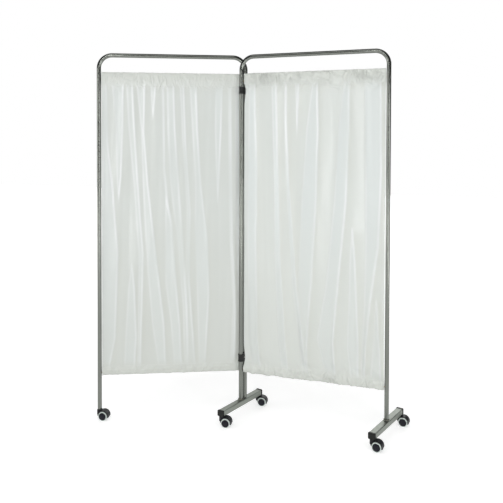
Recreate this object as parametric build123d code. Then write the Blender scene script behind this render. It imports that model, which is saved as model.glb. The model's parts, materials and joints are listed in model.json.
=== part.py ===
from build123d import *
import math
import os

os.makedirs("parts", exist_ok=True)

# Frame tubes
tube_radius = 10.0
tube_wall = 1.5
bend_radius = 60.0
rail_height = 1690.0
leg_spacing = 678.0

# Stance of the panels and the castors, turns in degrees
hinge_spacing = 28.0
hinge_turn = 67.0
wing_turn = 24.5
foot_skew = 17.0
wing_castor_turn = 7.0
middle_castor_turn = 4.0
right_castor_turn = -9.0

# Castors
wheel_radius = 21.0
wheel_width = 13.0
wheel_gap = 0.6
castor_trail = 21.0
hub_radius = 17.0
hub_dome = 2.5
hub_cover = 2.5
tyre_round = 3.0
axle_radius = 3.0
web_half = 6.5
web_drop = 10.0
hood_gap = 2.0
hood_wall = 2.0
hood_half = 18.5
hood_tail_turn = 14.0
housing_radius = 12.5
housing_drop = 22.0
stem_radius = 5.0
stem_rise = 15.0
stem_depth = 12.0
stem_chamfer = 1.0
swivel_gap = 1.0

# Foot bars and their end caps
foot_width = 30.0
foot_height = 25.0
foot_wall = 1.5
foot_round = 3.0
castor_reach = 144.0
foot_overhang = 8.0
weld_size = 3.0
cap_face = 5.0
cap_lip_length = 5.0
cap_lip_wall = 1.5
cap_round = 2.0
cap_insert = 30.0

# Fittings in the wing's legs
plug_face = 3.0
plug_chamfer = 1.0
plug_length = 16.0
plug_gap = 2.5
socket_face = 2.0
socket_length = 32.0

# Double clips
clip_height = 34.0
clip_wall = 3.0
clip_rib = 5.0
clip_waist = 1.0
clip_split = 0.2
upper_clip_drop = 43.0
lower_clip_rise = 55.0
screw_radius = 1.5
screw_head_radius = 2.8
screw_head_height = 2.0
nut_radius = 3.1
nut_height = 2.4
pocket_depth = 3.5
pocket_gap = 0.3

# Curtains and their wires
top_wire_drop = 112.0
bottom_wire_height = 219.0
top_frill = 36.0
bottom_frill = 13.0
cloth = 1.2
fold_depth = 10.0
hem_height = 14.0
hem_thickness = 8.0
hem_round = 3.6
hem_bore_radius = 2.5
main_curtain_inset = 20.0
wing_curtain_inset = 27.0
outer_curtain_inset = 12.0
fold_lean = 14.0
wire_radius = 1.2
ferrule_radius = 2.0
ferrule_length = 10.0
ferrule_gap = 1.0
hook_drop = 5.0
hook_reach = 4.0

# Clearances and cuts
running_gap = 0.05
press_gap = 0.02
hole_gap = 0.3
overrun = 10.0

# Widths and depths of the half folds, from the inner leg outwards
main_width_shares = [6, 8, 9, 11, 10, 12, 9, 10, 13, 11, 9, 12, 14, 10, 12, 13, 9, 11, 12, 10, 13, 11, 9, 8]
main_depth_shares = [0.12, 0.2, 0.5, 0.8, 0.9, 1.0, 0.7, 0.8, 1.0, 0.8, 0.7, 0.9,
                     1.0, 0.7, 0.9, 1.0, 0.7, 0.8, 0.9, 0.8, 1.0, 0.8, 0.6, 0.4]
wing_width_shares = [7, 8, 8, 9, 11, 9, 10, 12, 9, 8, 11, 10, 9, 12, 10, 8, 10, 11, 9, 12, 9, 10, 11, 9, 8, 7]
wing_depth_shares = [0.1, 0.12, 0.4, 0.7, 0.9, 0.8, 0.8, 1.0, 0.7, 0.7, 0.9, 0.8, 0.8,
                     1.0, 0.8, 0.7, 0.8, 0.9, 0.8, 1.0, 0.7, 0.8, 0.9, 0.8, 0.6, 0.4]
drape_height_shares = [0.0, 0.1, 0.45, 0.88, 1.0]
drape_depth_shares = [0.2, 0.75, 1.0, 0.8, 0.2]
frill_depth_share = 0.35

# Heights worked out from the castor
axle_height = wheel_radius
hood_radius = wheel_radius + hood_gap + hood_wall
hood_top = axle_height + hood_radius
foot_bottom = hood_top + swivel_gap + cap_lip_wall
foot_top = foot_bottom + foot_height
foot_half_length = castor_reach + foot_overhang
tube_inner = tube_radius - tube_wall
clip_radius = tube_radius + clip_wall

# Heights worked out from the rail and the bottom wire
top_wire_height = rail_height - top_wire_drop
curtain_top = top_wire_height + top_frill
curtain_bottom = bottom_wire_height - bottom_frill
upper_clip_height = top_wire_height - upper_clip_drop
lower_clip_height = bottom_wire_height + lower_clip_rise

# Where the wing stands
hinge_radians = math.radians(hinge_turn)
wing_leg_x = hinge_spacing * math.cos(hinge_radians)
wing_leg_y = hinge_spacing * math.sin(hinge_radians)
wing_heading = 180.0 + wing_turn
wing_place = Pos(wing_leg_x, wing_leg_y, 0) * Rot(0, 0, wing_heading)


def rod(radius, start, end):
    """A round bar between two points."""
    run = Vector(*end) - Vector(*start)
    return extrude(Plane(start, z_dir=run) * Circle(radius), amount=run.length)


# Frame tubes

def hook_holes():
    """Holes for the curtain hooks, on the inner sides of both legs."""
    cuts = []
    for height in (top_wire_height, bottom_wire_height):
        for leg, reach in ((0, overrun), (leg_spacing, -overrun)):
            radius = wire_radius + hole_gap
            cuts.append(rod(radius, (leg, 0, height), (leg + reach + math.copysign(tube_radius, reach), 0, height)))
    return cuts


def frame_tube(inner_bottom, outer_bottom):
    """An upside-down U of round tube, inner leg at the origin, outer leg along +X."""
    path = FilletPolyline(
        (0, 0, inner_bottom),
        (0, 0, rail_height),
        (leg_spacing, 0, rail_height),
        (leg_spacing, 0, outer_bottom),
        radius=bend_radius,
    )
    ring = Circle(tube_radius) - Circle(tube_inner)
    tube = sweep(Plane((0, 0, inner_bottom)) * ring, path=path)
    for cut in hook_holes():
        tube -= cut
    return tube


# Foot bars

def bar_section(inset):
    """The outline of the bar, drawn square to it and made smaller by inset."""
    section = RectangleRounded(foot_width - 2 * inset, foot_height - 2 * inset, foot_round - inset)
    middle = foot_bottom + foot_height / 2
    return Plane((0, 0, middle), x_dir=(1, 0, 0), z_dir=(0, -1, 0)) * section


def foot_bar_outside():
    return extrude(bar_section(0), amount=foot_half_length, both=True)


def foot_bar():
    """A hollow bar along Y under a leg, with the weld bead round the leg."""
    bar = foot_bar_outside() - extrude(bar_section(foot_wall), amount=foot_half_length, both=True)
    bead = Cone(tube_radius + weld_size, tube_radius, weld_size + foot_round)
    bead = Pos(0, 0, foot_top - foot_round + (weld_size + foot_round) / 2) * bead
    bead -= Cylinder(tube_radius, 4 * foot_top)
    bead -= foot_bar_outside()
    for reach in (castor_reach, -castor_reach):
        bar -= Pos(0, reach, foot_bottom) * Cylinder(stem_radius + hole_gap, foot_height)
    return bar + bead


def stem_bore():
    """The socket's bore for a castor stem, from the top of the hood upwards."""
    depth = stem_rise + hole_gap
    return Cylinder(stem_radius + running_gap, depth, align=(Align.CENTER, Align.CENTER, Align.MIN))


def end_cap():
    """The moulded cap on the +Y end of a bar, with the castor's socket in its insert."""
    lip_start = foot_half_length - cap_lip_length
    head = extrude(bar_section(-cap_lip_wall), amount=-(cap_face + cap_lip_length))
    head = Pos(0, lip_start, 0) * head
    rim = head.edges().group_by(Axis.Y)[-1]
    head = fillet(rim, cap_round)
    head -= Pos(0, lip_start - overrun, 0) * extrude(bar_section(-press_gap), amount=-(cap_lip_length + overrun))
    insert = extrude(bar_section(foot_wall + press_gap), amount=-cap_insert)
    insert = Pos(0, foot_half_length - cap_insert, 0) * insert
    return head + insert - Pos(0, castor_reach, hood_top) * stem_bore()


# Fittings in the wing's legs

def leg_plug():
    """The closed plug in the foot of the wing's inner leg."""
    bottom = foot_top + plug_gap
    face = Pos(0, 0, bottom) * Cylinder(tube_radius, plug_face, align=(Align.CENTER, Align.CENTER, Align.MIN))
    face = chamfer(face.edges().group_by(Axis.Z)[0], plug_chamfer)
    shank = Cylinder(tube_inner - press_gap, plug_length, align=(Align.CENTER, Align.CENTER, Align.MIN))
    return face + Pos(0, 0, bottom + plug_face) * shank


def leg_socket():
    """The castor's socket in the foot of the wing's outer leg."""
    face = Cylinder(tube_radius, socket_face, align=(Align.CENTER, Align.CENTER, Align.MIN))
    shank = Cylinder(tube_inner - press_gap, socket_length, align=(Align.CENTER, Align.CENTER, Align.MIN))
    body = Pos(0, 0, foot_bottom) * (face + Pos(0, 0, socket_face) * shank)
    return body - Pos(0, 0, hood_top) * stem_bore()


# Castors, each with its swivel axis at the origin and trailing along +X

def wheel_space():
    """The room that the wheels need inside the hood, either side of the web."""
    length = hood_half + overrun
    room = Rot(90, 0, 0) * Cylinder(wheel_radius + hood_gap, length)
    shift = web_half + length / 2
    return Pos(castor_trail, shift, axle_height) * room + Pos(castor_trail, -shift, axle_height) * room


def hood_wedge():
    """Everything above the slanting lower edge of the hood's tail."""
    reach = 2 * hood_radius
    tail = math.radians(hood_tail_turn)
    outline = Polyline(
        (0, 0),
        (reach * math.cos(tail), -reach * math.sin(tail)),
        (reach, reach),
        (-reach, reach),
        (-reach, 0),
        close=True,
    )
    face = Plane((castor_trail, 0, axle_height), x_dir=(1, 0, 0), z_dir=(0, -1, 0)) * make_face(outline)
    return extrude(face, amount=reach, both=True)


def castor_hood():
    turned = Rot(90, 0, 0)
    web = turned * Cylinder(hood_radius, 2 * web_half)
    web -= Pos(0, 0, -hood_radius - web_drop) * Box(4 * hood_radius, 4 * hood_radius, 2 * hood_radius)
    shell = turned * Cylinder(hood_radius, 2 * hood_half)
    shell = fillet(shell.edges().filter_by(GeomType.CIRCLE), hood_wall)
    shell = Pos(castor_trail, 0, axle_height) * shell & hood_wedge()
    shoulder_size = (castor_trail, 2 * housing_radius, hood_top - axle_height)
    shoulder = Box(*shoulder_size, align=(Align.MIN, Align.CENTER, Align.MIN))
    housing = Cylinder(housing_radius, housing_drop, align=(Align.CENTER, Align.CENTER, Align.MIN))
    housing = Pos(0, 0, hood_top - housing_drop) * housing
    cover = Pos(0, 0, axle_height) * shoulder + housing + shell
    cover -= wheel_space()
    hood = cover + Pos(castor_trail, 0, axle_height) * web
    bore = Cylinder(stem_radius + press_gap, stem_depth + overrun, align=(Align.CENTER, Align.CENTER, Align.MIN))
    hood -= Pos(0, 0, hood_top - stem_depth) * bore
    hood -= Pos(castor_trail, 0, axle_height) * turned * Cylinder(axle_radius + press_gap, 4 * hood_half)
    return hood


def castor_stem():
    length = stem_depth + stem_rise
    stem = Cylinder(stem_radius, length, align=(Align.CENTER, Align.CENTER, Align.MIN))
    stem = chamfer(stem.edges().group_by(Axis.Z)[-1], stem_chamfer)
    return Pos(0, 0, hood_top - stem_depth) * stem


def castor_axle():
    reach = web_half + wheel_gap + wheel_width - hub_cover
    return Pos(castor_trail, 0, axle_height) * Rot(90, 0, 0) * Cylinder(axle_radius, 2 * reach)


def wheel_frame(side):
    """Where a wheel's own Z axis points out along the axle, on side +1 or -1."""
    place = Pos(castor_trail, side * (web_half + wheel_gap), axle_height)
    return place * Rot(-90 * side, 0, 0)


def wheel_hub(side):
    """A plain disc with a domed outer face and a blind bore for the axle."""
    dome_radius = (hub_radius ** 2 + hub_dome ** 2) / (2 * hub_dome)
    dome_centre = wheel_width + hub_dome - dome_radius
    half_turn = math.asin(hub_radius / dome_radius) / 2
    middle = (dome_radius * math.sin(half_turn), dome_centre + dome_radius * math.cos(half_turn))
    bore = axle_radius + running_gap
    blind = wheel_width - hub_cover + running_gap
    edges = [
        Line((bore, 0), (hub_radius, 0)),
        Line((hub_radius, 0), (hub_radius, wheel_width)),
        ThreePointArc((hub_radius, wheel_width), middle, (0, wheel_width + hub_dome)),
        Line((0, wheel_width + hub_dome), (0, blind)),
        Line((0, blind), (bore, blind)),
        Line((bore, blind), (bore, 0)),
    ]
    return wheel_frame(side) * revolve(Plane.XZ * make_face(edges), axis=Axis.Z)


def wheel_tyre(side):
    upward = (Align.CENTER, Align.CENTER, Align.MIN)
    ring = Cylinder(wheel_radius, wheel_width, align=upward)
    ring = fillet(ring.edges().filter_by(GeomType.CIRCLE), tyre_round)
    return wheel_frame(side) * (ring - Cylinder(hub_radius, wheel_width, align=upward))


# Double clips, with their length along X from the main leg to the wing's leg

def clip_outline(radius, height):
    """A slot round both tubes, centred on height zero."""
    slot = SlotCenterToCenter(hinge_spacing, 2 * radius)
    return Pos(hinge_spacing / 2, 0, -height / 2) * extrude(slot, amount=height)


def clip_body():
    body = clip_outline(clip_radius - clip_waist, clip_height)
    rib_shift = (clip_height - clip_rib) / 2
    body += Pos(0, 0, rib_shift) * clip_outline(clip_radius, clip_rib)
    body += Pos(0, 0, -rib_shift) * clip_outline(clip_radius, clip_rib)
    for leg in (0, hinge_spacing):
        body -= Pos(leg, 0, 0) * Cylinder(tube_radius + running_gap, 2 * clip_height)
    middle = Pos(hinge_spacing / 2, 0, 0) * Rot(90, 0, 0)
    body -= middle * Cylinder(screw_radius + hole_gap, 4 * clip_radius)
    pocket = Cylinder(nut_radius + pocket_gap, pocket_depth + overrun, align=(Align.CENTER, Align.CENTER, Align.MIN))
    seat = clip_radius - clip_waist - pocket_depth
    body -= middle * Pos(0, 0, seat) * pocket
    body -= middle * Rot(180, 0, 0) * Pos(0, 0, seat) * pocket
    return body


def clip_shell(side):
    """The half of the clip on side -1 (front) or +1 (back) of the two axes."""
    size = 4 * hinge_spacing
    keep = Pos(0, side * (size / 2 + clip_split / 2), 0) * Box(size, size, size)
    return clip_body() & keep


def clip_screw():
    """A pan-head screw from the front face through to the nut."""
    seat = clip_radius - clip_waist - pocket_depth
    head = Cylinder(screw_head_radius, screw_head_height, align=(Align.CENTER, Align.CENTER, Align.MIN))
    head = fillet(head.edges().group_by(Axis.Z)[-1], screw_head_height / 2)
    shank = Cylinder(screw_radius, 2 * seat + nut_height, align=(Align.CENTER, Align.CENTER, Align.MAX))
    return Pos(hinge_spacing / 2, 0, 0) * Rot(90, 0, 0) * Pos(0, 0, seat) * (head + shank)


def clip_nut():
    seat = clip_radius - clip_waist - pocket_depth
    nut = extrude(RegularPolygon(nut_radius, 6) - Circle(screw_radius), amount=nut_height)
    return Pos(hinge_spacing / 2, 0, 0) * Rot(-90, 0, 0) * Pos(0, 0, seat) * nut


def clip_places():
    turned = Rot(0, 0, hinge_turn)
    return [Pos(0, 0, upper_clip_height) * turned, Pos(0, 0, lower_clip_height) * turned]


# Curtains, each in its panel's plane with X outwards from the inner leg

def fold_nodes(start, end, width_shares, lean):
    """Where the folds cross the panel's plane, leaning over by lean in the middle."""
    total = sum(width_shares)
    nodes = [start]
    run = 0
    for share in width_shares:
        run += share
        place = run / total
        nodes.append(start + (end - start) * place + lean * math.sin(math.pi * place))
    nodes[-1] = end
    return nodes


def fold_section(height, nodes, depths):
    """A closed outline of folded cloth at one height, in arcs that swing to and fro."""
    half = cloth / 2
    edges = []
    for index, depth in enumerate(depths):
        left, right = nodes[index], nodes[index + 1]
        swing = depth if index % 2 else -depth
        middle = (left + right) / 2
        edges.append(ThreePointArc((left, half, height), (middle, swing + half, height), (right, half, height)))
        edges.append(ThreePointArc((left, -half, height), (middle, swing - half, height), (right, -half, height)))
    for end in (nodes[0], nodes[-1]):
        edges.append(Line((end, half, height), (end, -half, height)))
    return make_face(edges)


def drape(bottom, top, start, end, shares, levels):
    """A loft of folded cloth between two heights, levels being (height share, depth share)."""
    width_shares, depth_shares = shares
    sections = []
    for height_share, level_share in levels:
        lean = fold_lean * (height_share - 0.5)
        nodes = fold_nodes(start, end, width_shares, lean)
        depths = [fold_depth * level_share * share for share in depth_shares]
        sections.append(fold_section(bottom + (top - bottom) * height_share, nodes, depths))
    return loft(sections, ruled=True)


def hem_channel(height, start, end):
    """The flattened tube of cloth that holds a wire."""
    section = RectangleRounded(hem_thickness, hem_height, hem_round)
    section -= Circle(hem_bore_radius)
    return extrude(Plane((start, 0, height), x_dir=(0, 1, 0), z_dir=(1, 0, 0)) * section, amount=end - start)


def curtain(start, end, width_shares, depth_shares):
    shares = (width_shares, depth_shares)
    edge = hem_bore_radius + cloth
    flat_share = drape_depth_shares[0]
    cloth_body = drape(
        bottom_wire_height + edge,
        top_wire_height - edge,
        start,
        end,
        shares,
        list(zip(drape_height_shares, drape_depth_shares)),
    )
    cloth_body += drape(
        top_wire_height + edge,
        curtain_top,
        start,
        end,
        shares,
        [(0.0, flat_share), (1.0, frill_depth_share)],
    )
    cloth_body += drape(
        curtain_bottom,
        bottom_wire_height - edge,
        start,
        end,
        shares,
        [(0.0, frill_depth_share), (1.0, flat_share)],
    )
    for height in (bottom_wire_height, top_wire_height):
        cloth_body += hem_channel(height, start, end)
    return cloth_body


def ferrule_span():
    """Where the ferrule at the inner leg starts and ends."""
    start = tube_radius + ferrule_gap
    return start, start + ferrule_length


def curtain_wire(height):
    start, end = ferrule_span()
    reach = (start + end) / 2
    return rod(wire_radius, (reach, 0, height), (leg_spacing - reach, 0, height))


def curtain_hook(height):
    """A ferrule on the wire's end, with a rod that turns down inside the leg."""
    start, end = ferrule_span()
    grip = (start + end) / 2
    body = rod(ferrule_radius, (start, 0, height), (end, 0, height))
    body -= rod(wire_radius + press_gap, (grip, 0, height), (end + overrun, 0, height))
    body += rod(wire_radius, (hook_reach, 0, height), (start + wire_radius, 0, height))
    body += rod(wire_radius, (hook_reach, 0, height + wire_radius), (hook_reach, 0, height - hook_drop))
    return body


def curtain_hooks():
    mirrored = Plane((leg_spacing / 2, 0, 0), z_dir=(1, 0, 0))
    hooks = []
    for height in (bottom_wire_height, top_wire_height):
        hook = curtain_hook(height)
        hooks += [hook, mirror(hook, about=mirrored)]
    return hooks


# Nodes, by name

nodes = {}
foot_turn = Rot(0, 0, -foot_skew)
middle_foot_place = foot_turn
right_foot_place = Pos(leg_spacing, 0, 0) * foot_turn

leg_seat = foot_top - foot_round
main_tube = frame_tube(leg_seat, leg_seat)
for place in (middle_foot_place, right_foot_place):
    main_tube -= place * foot_bar_outside()
nodes["main_frame_tube"] = main_tube
wing_tube = frame_tube(foot_top + plug_gap + plug_face, foot_bottom + socket_face)
nodes["wing_frame_tube"] = wing_place * wing_tube

castor_places = {}
for foot_name, place, castor_turn in (
    ("middle_foot", middle_foot_place, middle_castor_turn),
    ("right_foot", right_foot_place, right_castor_turn),
):
    nodes[foot_name + "_bar"] = place * foot_bar()
    for end_name, turn in (("near", 180), ("far", 0)):
        nodes[foot_name + "_" + end_name + "_cap"] = place * Rot(0, 0, turn) * end_cap()
        reach = castor_reach if end_name == "far" else -castor_reach
        castor_places[foot_name + "_" + end_name] = place * Pos(0, reach, 0) * Rot(0, 0, foot_skew + castor_turn)

nodes["wing_leg_plug"] = wing_place * leg_plug()
nodes["wing_leg_socket"] = wing_place * Pos(leg_spacing, 0, 0) * leg_socket()
wing_castor = (wing_place * Pos(leg_spacing, 0, 0)).position
castor_places["wing"] = Pos(wing_castor.X, wing_castor.Y, 0) * Rot(0, 0, wing_castor_turn)

for name, place in castor_places.items():
    nodes[name + "_castor_stem"] = place * castor_stem()
    nodes[name + "_castor_hood"] = place * castor_hood()
    nodes[name + "_castor_axle"] = place * castor_axle()
    for side_name, side in (("front", -1), ("back", 1)):
        nodes[name + "_castor_" + side_name + "_hub"] = place * wheel_hub(side)
        nodes[name + "_castor_" + side_name + "_tyre"] = place * wheel_tyre(side)

for clip_name, place in zip(("upper", "lower"), clip_places()):
    nodes[clip_name + "_clip_front_shell"] = place * clip_shell(-1)
    nodes[clip_name + "_clip_back_shell"] = place * clip_shell(1)
nodes["clip_screws"] = Compound(children=[place * clip_screw() for place in clip_places()])
nodes["clip_nuts"] = Compound(children=[place * clip_nut() for place in clip_places()])

curtain_end = leg_spacing - outer_curtain_inset
for panel, place, inset, widths, depths in (
    ("main", Pos(0, 0, 0), main_curtain_inset, main_width_shares, main_depth_shares),
    ("wing", wing_place, wing_curtain_inset, wing_width_shares, wing_depth_shares),
):
    nodes[panel + "_curtain"] = place * curtain(inset, curtain_end, widths, depths)
    nodes[panel + "_top_wire"] = place * curtain_wire(top_wire_height)
    nodes[panel + "_bottom_wire"] = place * curtain_wire(bottom_wire_height)
    nodes[panel + "_curtain_hooks"] = Compound(children=[place * hook for hook in curtain_hooks()])

# The origin is on the floor, under the middle of the whole screen
corners = [shape.bounding_box() for shape in nodes.values()]
middle_x = (min(box.min.X for box in corners) + max(box.max.X for box in corners)) / 2
middle_y = (min(box.min.Y for box in corners) + max(box.max.Y for box in corners)) / 2
to_origin = Pos(-middle_x, -middle_y, 0)

for name, shape in nodes.items():
    export_step(to_origin * shape, "parts/" + name + ".step")
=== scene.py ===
import json
import math

import bmesh
import bpy
from mathutils import Matrix, Vector, noise

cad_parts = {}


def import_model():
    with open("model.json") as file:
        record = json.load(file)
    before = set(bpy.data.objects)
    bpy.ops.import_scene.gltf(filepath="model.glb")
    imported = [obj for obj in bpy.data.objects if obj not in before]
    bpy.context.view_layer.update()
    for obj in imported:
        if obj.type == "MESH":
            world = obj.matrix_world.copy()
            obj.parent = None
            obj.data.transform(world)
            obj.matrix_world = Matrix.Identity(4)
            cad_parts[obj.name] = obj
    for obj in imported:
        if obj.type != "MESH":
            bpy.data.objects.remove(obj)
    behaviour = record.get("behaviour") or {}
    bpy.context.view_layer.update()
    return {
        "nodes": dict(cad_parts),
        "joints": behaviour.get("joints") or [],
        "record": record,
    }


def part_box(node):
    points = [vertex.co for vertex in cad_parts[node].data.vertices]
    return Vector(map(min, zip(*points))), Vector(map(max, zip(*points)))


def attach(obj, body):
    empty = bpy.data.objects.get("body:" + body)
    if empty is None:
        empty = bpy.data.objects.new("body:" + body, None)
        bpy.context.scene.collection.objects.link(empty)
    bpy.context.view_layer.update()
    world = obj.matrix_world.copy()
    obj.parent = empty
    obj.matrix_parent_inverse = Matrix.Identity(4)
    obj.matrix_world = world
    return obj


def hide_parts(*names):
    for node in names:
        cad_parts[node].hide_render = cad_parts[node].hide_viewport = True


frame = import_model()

# All lengths are in metres

# Frame tubes
tube_radius = 0.010
bend_radius = 0.060
tube_sides = 48
bend_steps = 20
tube_overlap = 0.003
tube_crease = math.radians(50)
merge_gap = 0.00001

# Weld beads
weld_radius = 0.0022
weld_sides = 12
weld_beads = 44
bead_steps = 4
bead_swell = 0.12
weld_roughness = 0.10
weld_grain = 300
weld_ring_radius = tube_radius + weld_radius / 3

# Curtains
cloth = 0.0004
curtain_top = 1.614
curtain_bottom = 0.206
header_seam = 1.548
hem_seam = 0.247
pocket_half = 0.0038
pocket_pinch = 0.0009

# The sides of the cloth: the inner one keeps clear of the clips and comes close at the wires
wing_inner_edge = 0.0270
main_inner_edge = 0.0152
clip_heights = (1.535, 0.274)
clip_room = 0.0060
clip_reach = 0.045
wire_reaches = ((1.590, 0.026), (0.219, 0.028))
wire_edge = 0.0125
outer_gap = 0.0115
outer_wave, outer_wave_pitch = 0.0004, 9
outer_ripple, outer_ripple_pitch = 0.0003, 23

# Folds: how deep they are, and their depth by the share of the way down the cloth
main_depth = 1.55
wing_depth = 0.34
depth_shares = [(0.0, 1.0), (0.45, 0.86), (0.85, 1.75)]
narrow_fold = 0.010
wide_fold = 0.09
least_width_share = 0.5
least_fold = 0.001
fold_rise = 0.0065
slow_height = 0.18
crown_gain = 0.68
fold_lip = 0.14
fold_crest = 0.0045
fold_tail = 0.032
tail_height = 0.80
# The rest set painted light, not the cloth's shape: the painted shade after each fold, how deep a fold is
# before its painted shade is full, and the width and strength of the painted highlight lines on the fold
# shoulders
valley_painted_shade = 0.85
toned_lift = 0.003
crest_width = 0.0042
slow_crest = 0.55
crested_lift = 0.0015

# Folds beside and inside the pockets
fold_start = 0.034
hem_start = 0.050
start_uneven = 0.022
fold_share = 0.30
fold_fade = 0.014
sway_depth = 0.0022
ripple_depth = 0.0008
fan_lean = 0.42
fan_share = 0.26
fan_width = 0.0022
fan_spread = 0.07
fan_reach = 0.055
fan_fade = 0.008

# Puckers: the creases of the gathered cloth
main_pucker = 0.0080
wing_pucker = 0.0024
pucker_reach = 0.020
hem_pucker_share = 1.6
seam_pucker = 0.45
pucker_growth = 0.03
patch_middle = 0.55
patch_spread = 0.9
crease_pitch = 46.0
crease_length = 12.0
crease_wander = 0.5
crease_sharpness = 4.5
crease_falloff = 1.5
crease_lean = 0.50
counter_lean = -0.55
counter_seed = 14
crease_overlap = 1.1
swell_share = 0.9

# The folded top and bottom edges
edge_reach = 0.012
fine_edge_share = 0.5
bottom_wave = 0.0018
top_wave = 0.0015
top_drop = 0.0014
side_hem_width = 0.007
side_hem_slope = 0.002
side_hem_lift = 0.0005

# Noise over the cloth, as (waves a metre across, lean, waves a metre down, its own seed)
wander_noise = (7, 0, 4, 31)
patch_noise = (19, 0, 11, 5)
swell_noise = (34, 0, 26, 3)
sway_noise = (16, 0.9, 1.1, 0)
ripple_noise = (42, 1.2, 1.9, 9)
# the last one places the patches of painted highlight along the fold crests
highlight_patch_noise = (3, 0, 3.2, 21)
# and along one line across it, as (waves a metre, its own seed)
start_noise = (24, 5)
edge_noise = (26, 3)
fine_edge_noise = (75, 8)

# The cloth's painted light and shade: how far the folds' painted shade shows, a warmer painted shade low
# down and in the pockets, and where the fold crests get painted highlights
tone_overlap = 0.02
header_tone_fade = 0.03
hem_tone_fade = 0.05
# Painted shade, darker and warmer: low down on the cloth, in the header and in the hem
low_painted_shade, low_painted_shade_start, low_painted_shade_reach = 0.36, 1.15, 0.85
header_painted_shade, header_painted_shade_start, header_painted_shade_reach = 0.62, 0.055, 0.12
hem_painted_shade, hem_painted_shade_start, hem_painted_shade_reach = 0.40, 0.035, 0.07
# Random patches of painted highlight along the fold crests, and how strongly they show, weaker low down
highlight_patch_middle, highlight_patch_spread = 0.55, 1.1
low_crest, high_crest_gain, low_crest_start, low_crest_reach = 0.55, 0.45, 0.5, 0.7

# The cloth's mesh, as the step at both ends, the step between and the reach from one to the other
header_steps = (0.0014, 0.0050, 0.012)
field_steps = (0.0032, 0.0125, 0.15)
hem_steps = (0.0014, 0.0045, 0.010)
side_column = 0.0018
column_pitch = 0.0028
column_reach = 0.03

# Stitches
stitch_pitch = 0.0046
stitch_length = 0.0030
stitch_radius = 0.00042
stitch_sides = 6

# Moulded pieces, as the voxel of the even mesh and the passes that soften it
castor_softening = (0.0007, 4)
clip_softening = (0.0005, 3)

# Wheels: the disc's outline, in from the hub's radius and out from the wheel's outer face
wheel_width = 0.013
wheel_sides = 72
wheel_crease = math.radians(38)
wheel_merge_gap = 0.000001
hub_axis = 0.0001
hub_seat = 0.0002
hub_wall_drop = 0.0012
rim_inset, rim_drop, rim_round = 0.0010, 0.0006, 0.0008
rim_steps = 5
hub_groove = ((0.0016, 0.0001), (0.0024, -0.0009), (0.0032, -0.0008))
dish_inset, dish_drop = 0.0032, 0.0008
dome_steps = 10
hub_dome, dish_depth = 0.0025, 0.0007
dome_rise = hub_dome + dish_depth
# and the tyre's, in from the wheel's radius and out from its inner face
tyre_start = 0.0003
inner_round, inner_round_place, inner_round_turn, inner_round_steps = 0.0026, 0.0029, (-90, -20), 6
tread_flat = (0.0048, 0.0082)
outer_round, outer_round_drop, outer_round_turn, outer_round_steps = 0.0030, 0.0034, (12, 90), 8
tyre_lip, tyre_lip_drop = 0.0008, 0.0003
tyre_end_drop = 0.0009

# Camera
camera_azimuth = 18.557
camera_pitch = 1.2267
camera_roll = 0.1558
camera_distance = 2.8806
camera_height = 1.2655
camera_aside = 0.0477
camera_lens = 43.889
camera_shift = -0.18

# Studio
floor_size = 14.0
floor_grey = 0.80
floor_roughness = 0.9
floor_lift = 0.46
floor_fade = (0.6, 2.6)
room_gloss = 0.10
room_light = 0.52
backdrop_direction = (-0.339, 0.941, 0.0)
backdrop_edge = (0.70, 0.85)

# Lights, as (name, place, what it points at, width and height, watts)
softboxes = [
    ("Left softbox", (-4.6, -3.1, 1.05), (0, 0, 0.75), (1.2, 2.6), 70),
    ("Front softbox", (0.3, -3.6, 1.30), (0, 0, 0.80), (0.25, 2.6), 22),
    ("Right softbox", (3.1, -2.0, 0.95), (-0.2, 0, 0.7), (0.6, 1.9), 32),
    ("Top softbox", (0.0, -1.6, 3.4), (0, 0, 0.8), (2.2, 1.4), 12),
    ("Back softbox", (0.2, 3.6, 1.7), (0, 0, 0.9), (2.4, 2.2), 26),
]

# Surfaces
relief_depth = 0.0002
wrinkle_depth = 0.002
wrinkle_stretch = (60.0, 60.0, 9.0)

behaviour = frame["record"]["behaviour"]
body_of = {node: body for body, members in behaviour["bodies"].items() for node in members}
joints = {joint["name"]: joint for joint in frame["joints"]}
nodes = frame["nodes"]


def on_floor(joint_name):
    """Where a joint's upright axis meets the floor."""
    x, y, _ = joints[joint_name]["pos_m"]
    return Vector((x, y, 0))


main_low, main_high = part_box("main_frame_tube")
rail_height = main_high[2] - tube_radius
leg_spacing = main_high[0] - main_low[0] - 2 * tube_radius
main_leg = on_floor("clip_turn")
wing_leg = on_floor("wing_turn")
wing_end = on_floor("wing_castor_swivel")
wing_heading = math.atan2(wing_end.y - wing_leg.y, wing_end.x - wing_leg.x)
main_place = Matrix.Translation(main_leg)
wing_place = Matrix.Translation(wing_leg) @ Matrix.Rotation(wing_heading, 4, "Z")


# Small helpers

def smooth_share(value):
    """A share from 0 to 1, eased at both ends."""
    value = min(max(value, 0.0), 1.0)
    return value * value * (3 - 2 * value)


def between(points, place):
    """The value at place in a list of (place, value) pairs, in a straight line between two."""
    if place <= points[0][0]:
        return points[0][1]
    for (a, value_a), (b, value_b) in zip(points, points[1:]):
        if place <= b:
            share = (place - a) / (b - a)
            return value_a + (value_b - value_a) * share
    return points[-1][1]


def finish_piece(name, bm, material, body):
    """Makes the object of a finished mesh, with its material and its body."""
    mesh = bpy.data.meshes.new(name)
    bm.to_mesh(mesh)
    bm.free()
    for polygon in mesh.polygons:
        polygon.use_smooth = True
    piece = bpy.data.objects.new(name, mesh)
    bpy.context.scene.collection.objects.link(piece)
    mesh.materials.append(material)
    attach(piece, body)
    return piece


def apply_modifiers(piece):
    """Bakes a piece's modifiers into its mesh."""
    graph = bpy.context.evaluated_depsgraph_get()
    mesh = bpy.data.meshes.new_from_object(piece.evaluated_get(graph))
    old = piece.data
    piece.modifiers.clear()
    piece.data = mesh
    bpy.data.meshes.remove(old)


# Node groups and materials

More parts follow.
